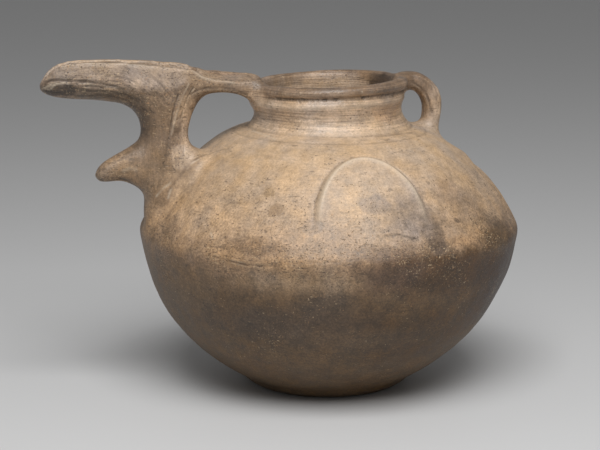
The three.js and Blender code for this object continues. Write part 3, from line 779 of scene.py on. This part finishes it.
def part(point, normal, low, high, hollow):
    point = Vector((AXIS + point[0] * mm, 0, point[1] * mm))
    normal = Vector((normal[0], 0, normal[1])).normalized()
    low = Vector((AXIS + low[0] * mm, -low[1] * mm, low[2] * mm))
    high = Vector((AXIS + high[0] * mm, high[1] * mm, high[2] * mm))
    inside_box = {
        vert for vert in skin.verts
        if low.z < vert.co.z < high.z and low.x < vert.co.x < high.x and low.y < vert.co.y < high.y
    }
    faces = {face for vert in inside_box for face in vert.link_faces if inside_box.issuperset(face.verts)}
    nearby = {item for face in faces for item in [face, *face.edges, *face.verts]}
    cut = bmesh.ops.bisect_plane(skin, geom=list(nearby), plane_co=point, plane_no=normal, dist=CUT_WELD)
    seam = [item for item in cut["geom_cut"] if isinstance(item, bmesh.types.BMEdge)]
    bmesh.ops.split_edges(skin, edges=seam)
    sides = {True: [], False: []}
    for edge in skin.edges:
        if edge.is_boundary:
            sides[(edge.link_faces[0].calc_center_median() - point).dot(normal) > 0].append(edge)
    for loop in sides.values():
        if hollow:
            bmesh.ops.bridge_loops(skin, edges=loop)
        else:
            bmesh.ops.contextual_create(skin, geom=loop)


for seam in SEAMS:
    part(*seam)

# Fire clouds. The open fire left brown to black clouds and paler patches, and soot, hands and oil left
# smaller blots. Each was placed as a soft-edged oval, laid over the ones before it.
CLOUD_DEPTH = 45 * mm


# A mark on the wall: its turn in degrees, its height and its reach along and up in mm
def wall_mark(turn, height, along, up, tint, strength):
    turn = math.radians(turn)
    share = (height * mm - PAD_THICKNESS) / (BELLY_HEIGHT - PAD_THICKNESS)
    radius = shoulder_radius(height * mm)
    if share < 1:
        radius = bowl_wall(max(share, 0), PAD_EDGE, BELLY_RADIUS)[0]
    spot = (AXIS + radius * math.cos(turn), radius * math.sin(turn), height * mm)
    return spot, (0, 0, turn), (CLOUD_DEPTH, along * mm, up * mm), tint, strength


# A mark on spout, neck or handle: its place and its reach each way in mm
def placed_mark(x, y, z, reach_x, reach_y, reach_z, tint, strength):
    return (x * mm, y * mm, z * mm), (0, 0, 0), (reach_x * mm, reach_y * mm, reach_z * mm), tint, strength


# Not every mark is from the fire: some are painted shade, painted shadow and painted highlight, each named
# at its line.
FIRE_AND_PAINTED_LIGHT_MARKS = [
    wall_mark(-64, 89, 85, 19, "#48321b", 0.85),
    wall_mark(-40, 104, 26, 12, "#5e4c3b", 0.85),
    wall_mark(-118, 60, 85, 17, "#524335", 0.85),
    wall_mark(-161, 76, 45, 24, "#6f5b44", 0.6),
    wall_mark(172, 116, 28, 20, "#77634f", 0.7),
    wall_mark(-166, 104, 26, 12, "#7d6954", 0.5),
    wall_mark(-75, 50, 70, 26, "#442f14", 0.6),
    # Partly fire cloud and partly painted shade on the lower right side.
    wall_mark(-30, 72, 60, 38, "#341d06", 0.88),
    wall_mark(-114, 89, 50, 10, "#96816a", 0.7),
    wall_mark(-107, 75, 26, 10, "#54473b", 0.6),
    wall_mark(-122, 99, 60, 8, "#9b8268", 0.7),
    wall_mark(-100, 50, 50, 10, "#655442", 0.5),
    wall_mark(-51, 122, 20, 11, "#8c7864", 0.7),
    wall_mark(-57, 132, 13, 9, "#937d68", 0.6),
    wall_mark(-44, 111, 18, 10, "#74604c", 0.7),
    # Painted shade down the front boss's right side, grey above and darker below.
    wall_mark(-77, 131, 12, 14, "#9a8c80", 0.65),
    wall_mark(-71.5, 112, 8, 14, "#6b5d51", 0.65),
    wall_mark(-87, 95, 30, 17, "#59473a", 0.75),
    # Painted shade at the foot of the front boss's right side.
    wall_mark(-71.5, 107.5, 6, 7, "#51443a", 0.5),
    wall_mark(-90, 128, 30, 24, "#bda68c", 0.5),
    # Painted sheen: a grey patch on the boss's lower right.
    wall_mark(-80, 121, 23, 17, "#8f8176", 0.8),
    wall_mark(-111, 119, 7, 4.5, "#8a7a6c", 0.6),
    wall_mark(-89.8, 130.2, 11, 5, "#95867a", 0.75),
    wall_mark(-127.5, 135.5, 4.2, 2.8, "#8c7558", 0.7),
    wall_mark(-123.6, 127, 5, 3.8, "#8c7459", 0.75),
    wall_mark(-128, 106, 24, 8, "#77614b", 0.75),
    wall_mark(-60, 106, 20, 6, "#aa8a68", 0.55),
    wall_mark(-43, 104, 22, 11, "#64523e", 0.8),
    wall_mark(-49, 106, 14, 8, "#57442e", 0.7),
    # Painted light on the shoulder's left, which faces away from the lamp.
    wall_mark(-150, 118, 30, 14, "#bda48a", 0.6),
    wall_mark(175, 122, 16, 12, "#7d6752", 0.7),
    wall_mark(-60.5, 117, 2.2, 1.8, "#5a4d45", 0.6),
    wall_mark(-65.5, 138, 1.6, 1.2, "#6a5c50", 0.5),
    wall_mark(-84, 137.5, 2, 1, "#6a5c50", 0.5),
    placed_mark(60, -4, 172, 4, 10, 10, "#b39777", 0.6),
    placed_mark(-108, -14, 124, 10, 13, 9, "#75614e", 0.6),
    # Painted shade in the corner under the trough, where the pipe meets the keel.
    placed_mark(-122, -8, 170, 13, 16, 24, "#4c4138", 0.7),
    placed_mark(-90, -10, 166, 9, 12, 26, "#c6ae94", 0.85),
    # Painted highlight at the root of the pipe.
    placed_mark(-95, -14, 148, 8, 6, 9, "#b3a08d", 0.6),
    # Painted shade along the keel under the trough's near side.
    placed_mark(-138, -16, 186, 30, 12, 7, "#665a4d", 0.85),
    # Painted shade under the tip of the beak.
    placed_mark(-167, -10, 191.5, 12, 10, 5.5, "#3f352c", 0.9),
    placed_mark(-150, -14, 202, 40, 6, 6, "#a59484", 0.6),
    placed_mark(-135, 10, 206, 55, 13, 3.5, "#b79f84", 0.8),
    placed_mark(-108, -14, 198, 24, 8, 9, "#aa9a8c", 0.8),
    placed_mark(-66, -12, 189, 14, 8, 6, "#887460", 0.75),
    placed_mark(32, -36, 175, 18, 18, 11, "#b08e6c", 0.55),
    placed_mark(60, -4, 190, 14, 14, 8, "#6d5b4c", 0.6),
    placed_mark(66, 0, 172, 14, 14, 18, "#8a7662", 0.6),
    placed_mark(-37, -30, 173, 14, 14, 11, "#9a836b", 0.5),
    placed_mark(-66, 4, 198, 22, 8, 4, "#967a5f", 0.45),
    # Painted shadow inside the mouth, with some soot.
    placed_mark(40, 12, 187, 14, 16, 10, "#3f3329", 0.9),
    placed_mark(62, -10, 158, 12, 12, 8, "#a3968a", 0.6),
]

# Burnished earthenware. Coarse buff clay with white and dark grit, rubbed with a pebble when leather-hard
# and fired in the open: it gives a soft greyish sheen, fine strokes, pits and brown to black fire clouds.
# The pot was fired as one, so its elements share all colours and differ only in strokes, grit and sheen.
CLAY_IOR = 1.5
# By height in mm. The lower bowl is dark partly from the fire and partly as painted shade; the neck band
# from 161 to 180 mm is lightened partly as painted highlight.
WALL_COLOURS = {
    0: "#68533a", 10: "#65513a", 45: "#5f4b33", 72: "#634e36", 88: "#79644e", 95: "#8a725b",
    100: "#998066", 108: "#a0876d", 125: "#ad957b", 150: "#b49d83", 161: "#b5a089", 166: "#b7a38e",
    180: "#b49f8a", 190: "#826e5c", 196: "#726151",
}
SPOUT_COLOURS = {
    110: "#8a755f", 140: "#88745f", 160: "#7f6c5a", 178: "#7c6a59", 190: "#7e6d5d", 197: "#917f6f",
    206: "#9a8876",
}
COLOUR_TOP = 210
SPOUT_ROOT = Vector((-86, 0, 153)) * mm
SPOUT_LEAN = Vector((-34, 0, 33)).normalized()
SPOUT_BLEND = (-9 * mm, 5 * mm)
SMALL_MARK = 12 * mm
MARK_EDGE = 1.1
MARK_CORE = 0.35
SMALL_MARK_CORE = 0.7
WAVER_SIZE = 14
CLOUD_WAVER = (30 * mm, 30 * mm, 17 * mm)
BLOT_WAVER = (7 * mm, 7 * mm, 7 * mm)
MOTTLE_SIZE = 8
MOTTLE_DEPTH = 0.45
SAND_SIZE = 1.3
SAND_DEPTH = 0.4
WARMTH_SIZE = 19
COOL_TINT = "#eeeef2"
WARM_TINT = "#fff4e2"
WARMTH_LOW = 0.35
WARMTH_HIGH = 0.65
NOISE_LOW = 0.3
NOISE_HIGH = 0.7
SCRAPE_EDGE = 1.3
SCRAPE_CORE = 0.6
SCRAPE_REST = 0.3
SMOOTH_HEIGHT = 150 * mm
COARSE_HEIGHT = 104 * mm
DRIFT_SIZE = 24
GRIT_BELT = BELLY_HEIGHT + 5 * mm
GRIT_BELT_REACH = 20 * mm
GRIT_BELT_CROWD = 0.16
GRIT_COARSE_CROWD = 0.1
GRIT_CROWD_PULL = 0.24
GRIT_EDGE = 0.06
STROKE_RELIEF = 3
SAND_RELIEF = 0.5
RELIEF = 0.5 * mm
RELIEF_STRENGTH = 0.55
SHADE_WEAR_AND_HIGHLIGHT_COLOURS = {"groove_shade_and_hollow_dark": "#3a2f26", "wear_and_ridge_highlight": "#c9b8a2"}
# Grit, pits and scratches by size in mm, seed, rarity, colour, strength and rise. The real sand is finer
# than a pixel, so it and the specks are drawn coarse enough to show.
GRAINS = [
    ((1.0, 1.0, 1.0), 1, 0.83, "#d0b590", 0.5, 0.3),
    ((1.4, 1.4, 1.1), 2, 0.785, "#3b3027", 0.7, -0.8),
    ((1.6, 1.6, 1.6), 3, 0.815, "#ae855c", 0.45, 0.2),
    ((2.8, 2.8, 1.7), 7, 0.8, "#4a3a2c", 0.6, -0.6),
    ((2.6, 2.6, 0.9), 4, 0.82, "#d2b893", 0.5, -0.3),
    ((0.9, 0.9, 2.8), 5, 0.83, "#d2b893", 0.5, -0.3),
    ((8, 8, 1.4), 6, 0.79, "#4a3c30", 0.5, -0.4),
]


def linear(colour):
    channels = [int(colour[i:i + 2], 16) / 255 for i in (1, 3, 5)]
    return [c / 12.92 if c <= 0.04045 else ((c + 0.055) / 1.055) ** 2.4 for c in channels] + [1]


def add(tree, kind, inputs=None, out=0, **settings):
    node = tree.nodes.new("ShaderNode" + kind)
    for key, value in settings.items():
        setattr(node, key, value)
    for key, value in (inputs or {}).items():
        if isinstance(value, bpy.types.NodeSocket):
            tree.links.new(value, node.inputs[key])
        else:
            node.inputs[key].default_value = value
    return node.outputs[out]


def per(size):
    return 1 / (size * mm)


# Marks have wandering edges: the places they are drawn at waver, far for clouds and a little for blots
def wavering(tree, place):
    sway = add(
        tree, "TexNoise", {"Vector": place, "Scale": per(WAVER_SIZE), "Detail": 5, "Roughness": 0.62},
        out="Color",
    )
    sway = add(tree, "VectorMath", {0: sway, 1: (0.5,) * 3}, operation="SUBTRACT")
    places = []
    for reach in (CLOUD_WAVER, BLOT_WAVER):
        places.append(add(tree, "VectorMath", {0: sway, 1: reach, 2: place}, operation="MULTIPLY_ADD"))
    return places


# The ground colour by height, part fired colour, part painted shade on the bowl and painted highlight on the
# neck, with a scale of its own for the spout
def ground(tree, wavered):
    height = add(tree, "SeparateXYZ", {0: wavered}, out="Z")
    height = add(tree, "MapRange", {"Value": height, "From Max": COLOUR_TOP * mm})
    grounds = []
    for colours in (WALL_COLOURS, SPOUT_COLOURS):
        ramp = add(tree, "ValToRGB", {0: height})
        stops = ramp.node.color_ramp.elements
        stops.remove(stops[0])
        for level, tint in colours.items():
            stop = stops[0] if level == min(colours) else stops.new(level / COLOUR_TOP)
            stop.position = level / COLOUR_TOP
            stop.color = linear(tint)
        grounds.append(ramp)
    outward = add(tree, "VectorMath", {0: wavered, 1: SPOUT_LEAN}, operation="DOT_PRODUCT", out="Value")
    root = SPOUT_ROOT.dot(SPOUT_LEAN)
    outward = add(
        tree, "MapRange",
        {"Value": outward, "From Min": root + SPOUT_BLEND[0], "From Max": root + SPOUT_BLEND[1]},
        interpolation_type="SMOOTHSTEP",
    )
    return add(tree, "MixRGB", {0: outward, 1: grounds[0], 2: grounds[1]})


def marked_with_fire_and_painted_light(tree, colour, wavered, ragged):
    for location, turn, reach, tint, strength in FIRE_AND_PAINTED_LIGHT_MARKS:
        small = reach[1] < SMALL_MARK
        core = SMALL_MARK_CORE if small else MARK_CORE
        local = add(
            tree, "Mapping",
            {"Vector": ragged if small else wavered, "Location": location, "Rotation": turn, "Scale": reach},
            vector_type="TEXTURE",
        )
        away = add(tree, "VectorMath", {0: local}, operation="LENGTH", out="Value")
        mask = add(
            tree, "MapRange",
            {"Value": away, "From Min": MARK_EDGE, "From Max": core, "To Max": strength},
            interpolation_type="SMOOTHSTEP",
        )
        colour = add(tree, "MixRGB", {0: mask, 1: colour, 2: linear(tint)})
    return colour


# Burnishing strokes, as long in each direction as the given mm
def stroked(tree, place, strokes, bend):
    run = place
    if bend:
        # Here the strokes turn with the clay, from along the beak to down the pipe
        past = add(tree, "VectorMath", {0: place, 1: bend}, operation="SUBTRACT")
        past = add(tree, "VectorMath", {0: past, 1: (0, 0, 0)}, operation="MAXIMUM")
        past = add(tree, "VectorMath", {0: past, 1: (1, 0, 1)}, operation="MULTIPLY")
        across = add(tree, "VectorMath", {0: past}, operation="LENGTH", out="Value")
        along = add(tree, "VectorMath", {0: place, 1: (1, 0, -1)}, operation="DOT_PRODUCT", out="Value")
        side = add(tree, "SeparateXYZ", {0: place}, out="Y")
        run = add(tree, "CombineXYZ", {0: across, 1: side, 2: along})
    run = add(tree, "Mapping", {"Vector": run, "Scale": [per(length) for length in strokes]})
    return add(tree, "TexNoise", {"Vector": run, "Scale": 1, "Detail": 5, "Roughness": 0.62})


# How far the strokes show: most where the clay was scraped last, in the oval with this centre and reach
def scraping(tree, place, centre, reach):
    local = add(
        tree, "Mapping", {"Vector": place, "Location": centre, "Scale": reach}, vector_type="TEXTURE",
    )
    away = add(tree, "VectorMath", {0: local}, operation="LENGTH", out="Value")
    return add(
        tree, "MapRange",
        {"Value": away, "From Min": SCRAPE_EDGE, "From Max": SCRAPE_CORE, "To Min": SCRAPE_REST},
    )


# Grit comes in drifts and crowds round the belly edge and below it
def crowding(tree, place, height, coarse, grit):
    drift = add(tree, "TexNoise", {"Vector": place, "Scale": per(DRIFT_SIZE), "Detail": 4})
    level = add(tree, "Math", {0: height, 1: GRIT_BELT}, operation="SUBTRACT")
    level = add(tree, "Math", {0: level}, operation="ABSOLUTE")
    crowd = add(
        tree, "MapRange",
        {"Value": level, "From Min": GRIT_BELT_REACH, "From Max": 0, "To Max": GRIT_BELT_CROWD},
    )
    crowd = add(tree, "Math", {0: drift, 1: crowd}, operation="ADD")
    crowd = add(tree, "Math", {0: coarse, 1: GRIT_COARSE_CROWD, 2: crowd}, operation="MULTIPLY_ADD")
    return add(tree, "Math", {0: crowd, 1: grit}, operation="ADD")


def gritty(tree, place, crowd, colour, relief):
    for sizes, seed, rarity, tint, strength, rise in GRAINS:
        grain = add(tree, "Mapping", {"Vector": place, "Scale": [per(size) for size in sizes]})
        grain = add(
            tree, "TexNoise", {"Vector": grain, "W": seed, "Scale": 1, "Detail": 2, "Roughness": 0.6},
            noise_dimensions="4D",
        )
        grain = add(tree, "Math", {0: crowd, 1: GRIT_CROWD_PULL, 2: grain}, operation="MULTIPLY_ADD")
        grain = add(
            tree, "MapRange",
            {"Value": grain, "From Min": rarity, "From Max": rarity + GRIT_EDGE, "To Max": strength},
        )
        colour = add(tree, "MixRGB", {0: grain, 1: colour, 2: linear(tint)})
        relief = add(tree, "Math", {0: grain, 1: rise, 2: relief}, operation="MULTIPLY_ADD")
    return colour, relief


def earthenware(name, strokes, scoring, calm, gloss=(0.4, 0.56), bend=None, scraped=None, grit=0):
    material = bpy.data.materials.new(name)
    material.use_nodes = True
    tree = material.node_tree
    shader = tree.nodes["Principled BSDF"]
    place = add(tree, "TexCoord", out="Object")
    height = add(tree, "SeparateXYZ", {0: place}, out="Z")
    coarse = add(
        tree, "MapRange",
        {"Value": height, "From Min": SMOOTH_HEIGHT, "From Max": COARSE_HEIGHT, "To Min": calm},
    )
    wavered, ragged = wavering(tree, place)
    colour = marked_with_fire_and_painted_light(tree, ground(tree, wavered), wavered, ragged)

    mottle = add(
        tree, "TexNoise", {"Vector": place, "Scale": per(MOTTLE_SIZE), "Detail": 9, "Roughness": 0.72},
    )
    sand = add(tree, "TexNoise", {"Vector": place, "Scale": per(SAND_SIZE), "Detail": 3, "Roughness": 0.75})
    stroke = stroked(tree, place, strokes, bend)
    worked = scraping(tree, place, *scraped) if scraped else 1
    patterns = ((mottle, MOTTLE_DEPTH, coarse), (sand, SAND_DEPTH, coarse), (stroke, scoring, worked))
    for pattern, depth, share in patterns:
        shade = add(
            tree, "MapRange",
            {"Value": pattern, "From Min": NOISE_LOW, "From Max": NOISE_HIGH,
             "To Min": 1 - depth, "To Max": 1 + depth},
        )
        colour = add(tree, "MixRGB", {0: share, 1: colour, 2: shade}, blend_type="MULTIPLY")
    warmth = add(
        tree, "TexNoise", {"Vector": place, "Scale": per(WARMTH_SIZE), "Detail": 6, "Roughness": 0.6},
    )
    warmth = add(tree, "MapRange", {"Value": warmth, "From Min": WARMTH_LOW, "From Max": WARMTH_HIGH})
    warmth = add(tree, "MixRGB", {0: warmth, 1: linear(COOL_TINT), 2: linear(WARM_TINT)})
    colour = add(tree, "MixRGB", {0: 1, 1: colour, 2: warmth}, blend_type="MULTIPLY")

    relief = add(tree, "Math", {0: stroke, 1: STROKE_RELIEF * scoring, 2: mottle}, operation="MULTIPLY_ADD")
    relief = add(tree, "Math", {0: sand, 1: SAND_RELIEF, 2: relief}, operation="MULTIPLY_ADD")
    crowd = crowding(tree, place, height, coarse, grit)
    colour, relief = gritty(tree, place, crowd, colour, relief)
    # The dark layer is painted shade in grooves with darkened hollows; the pale layer is worn clay with
    # painted highlight on ridges.
    for layer, tint in SHADE_WEAR_AND_HIGHLIGHT_COLOURS.items():
        layer_amount = add(tree, "Attribute", attribute_name=layer, out="Fac")
        colour = add(tree, "MixRGB", {0: layer_amount, 1: colour, 2: linear(tint)})
    tree.links.new(colour, shader.inputs["Base Color"])

    sheen = add(
        tree, "MapRange",
        {"Value": mottle, "From Min": NOISE_LOW, "From Max": NOISE_HIGH,
         "To Min": gloss[0], "To Max": gloss[1]},
    )
    tree.links.new(sheen, shader.inputs["Roughness"])
    shader.inputs["IOR"].default_value = CLAY_IOR
    bumped = add(tree, "Bump", {"Height": relief, "Strength": RELIEF_STRENGTH, "Distance": RELIEF})
    tree.links.new(bumped, shader.inputs["Normal"])
    return material


wall_clay = earthenware("burnished_earthenware_wall", (30, 30, 1.4), 0.08, calm=0.5)
neck_clay = earthenware("burnished_earthenware_neck", (34, 34, 1.1), 0.42, calm=0.6, gloss=(0.3, 0.46))
spout_clay = earthenware(
    "burnished_earthenware_spout", (1.6, 5, 16), 0.6, calm=0.6, gloss=(0.36, 0.52), grit=0.2,
    bend=Vector((-140, 0, 162)) * mm,
    scraped=(Vector((-140, -10, 187)) * mm, Vector((42, 24, 13)) * mm),
)
bridge_clay = earthenware(
    "burnished_earthenware_bridge", (26, 2, 1.6), 0.36, calm=0.7, gloss=(0.34, 0.5), grit=0.14,
)
lug_clay = earthenware("burnished_earthenware_lug", (14, 2, 2), 0.36, calm=0.7, grit=0.14)
handle_clay = earthenware("burnished_earthenware_handle", (3, 1.6, 12), 0.36, calm=0.6)

# Fired elements. The parted skin makes nine closed pieces of fired clay, each found by a spot on it; a piece
# stands for all the solids that were smoothed into it, and all are luted into one rigid body.


def spot_on(out, side, up):
    return Vector((AXIS + out * mm, side * mm, up * mm))


PIECES = {
    "fired_loop_handle": (spot_on(73, 0, 175), ["loop_handle"], "neck_clay", handle_clay),
    "fired_bridge_strap": (spot_on(-65, 0, 196), ["bridge_strap"], "spout_clay", bridge_clay),
    "fired_spout_trough": (Vector((TIP, 0, 190 * mm)), ["spout_trough"], "spout_clay", spout_clay),
    "fired_spout_lug": (spot_on(-147, 0, 137), ["spout_lug"], "spout_clay", lug_clay),
    "fired_spout_pipe": (spot_on(-105, -13, 165), ["spout_pipe", "bridge_tail"], "spout_clay", spout_clay),
    "fired_neck": (Vector((AXIS, -NECK_RADIUS, 175 * mm)), ["neck", "rim_roll"], "neck_clay", neck_clay),
    "fired_shoulder": (
        on_shoulder(math.radians(-135), 130 * mm),
        ["shoulder", "neck_root_coil", "spout_root_fillet", "handle_foot_pad",
         "shoulder_boss_front", "shoulder_boss_back", "shoulder_boss_handle"],
        "shoulder_clay", wall_clay,
    ),
    "fired_bowl": (spot_on(0, -100, 60), ["lower_bowl"], "bowl_clay", wall_clay),
    "fired_pad": (Vector((0, 0, 0)), ["base_pad"], "base_clay", wall_clay),
}
whole = workpiece("pitcher", skin)
bpy.ops.object.select_all(action="DESELECT")
whole.select_set(True)
bpy.context.view_layer.objects.active = whole
bpy.ops.mesh.separate(type="LOOSE")
loose = list(bpy.context.selected_objects)
for name, (seed, nodes, slot, finish) in PIECES.items():
    piece = min(loose, key=lambda o: min((v.co - seed).length for v in o.data.vertices))
    loose.remove(piece)
    piece.name = name
    for polygon in piece.data.polygons:
        polygon.use_smooth = True
    normals = [item.vector[:] for item in piece.data.attributes["whole_normal"].data]
    piece.data.normals_split_custom_set_from_vertices(normals)
    piece.data.attributes.remove(piece.data.attributes["whole_normal"])
    piece.data.materials.append(finish)
    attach(piece, "root")
    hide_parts(*nodes)

# Stage. A pale sweep of paper under one large softbox overhead, seen through a long lens from the
# photograph's side; nothing of it belongs to the pot.
PAPER_COLOUR = "#c8c8c8"
PAPER_HALF = 4
AMBIENT = 0.22
LAMP_POWER = 20.5
LAMP_SIZE = 0.9
LAMP_PLACE = Vector((-0.15, -0.75, 1.15))
LAMP_AIM = Vector((0, 0, 0.1))
FOCAL_LENGTH = 120
SENSOR_WIDTH = 36
CAMERA_PLACE = Vector((-326.7, -1185.3, 348.6)) * mm
CAMERA_LOOK = Vector((0.2476, 0.9482, -0.1990))

paper = bmesh.new()
bmesh.ops.create_grid(paper, x_segments=1, y_segments=1, size=PAPER_HALF)
floor = workpiece("floor", paper)
floor_paint = bpy.data.materials.new("paper")
floor_paint.use_nodes = True
floor_paint.node_tree.nodes["Principled BSDF"].inputs["Base Color"].default_value = linear(PAPER_COLOUR)
floor.data.materials.append(floor_paint)

scene = bpy.context.scene
world = bpy.data.worlds.new("studio")
scene.world = world
world.use_nodes = True
world.node_tree.nodes["Background"].inputs["Color"].default_value = (1, 1, 1, 1)
world.node_tree.nodes["Background"].inputs["Strength"].default_value = AMBIENT

softbox = bpy.data.lights.new("softbox", "AREA")
softbox.energy = LAMP_POWER
softbox.size = LAMP_SIZE
lamp = bpy.data.objects.new("softbox", softbox)
lamp.location = LAMP_PLACE
lamp.rotation_euler = (LAMP_AIM - LAMP_PLACE).to_track_quat("-Z", "Y").to_euler()
scene.collection.objects.link(lamp)

lens = bpy.data.cameras.new("camera")
lens.lens = FOCAL_LENGTH
lens.sensor_width = SENSOR_WIDTH
camera = bpy.data.objects.new("camera", lens)
camera.location = CAMERA_PLACE
camera.rotation_euler = CAMERA_LOOK.to_track_quat("-Z", "Y").to_euler()
scene.collection.objects.link(camera)
scene.camera = camera
scene.view_settings.view_transform = "Standard"
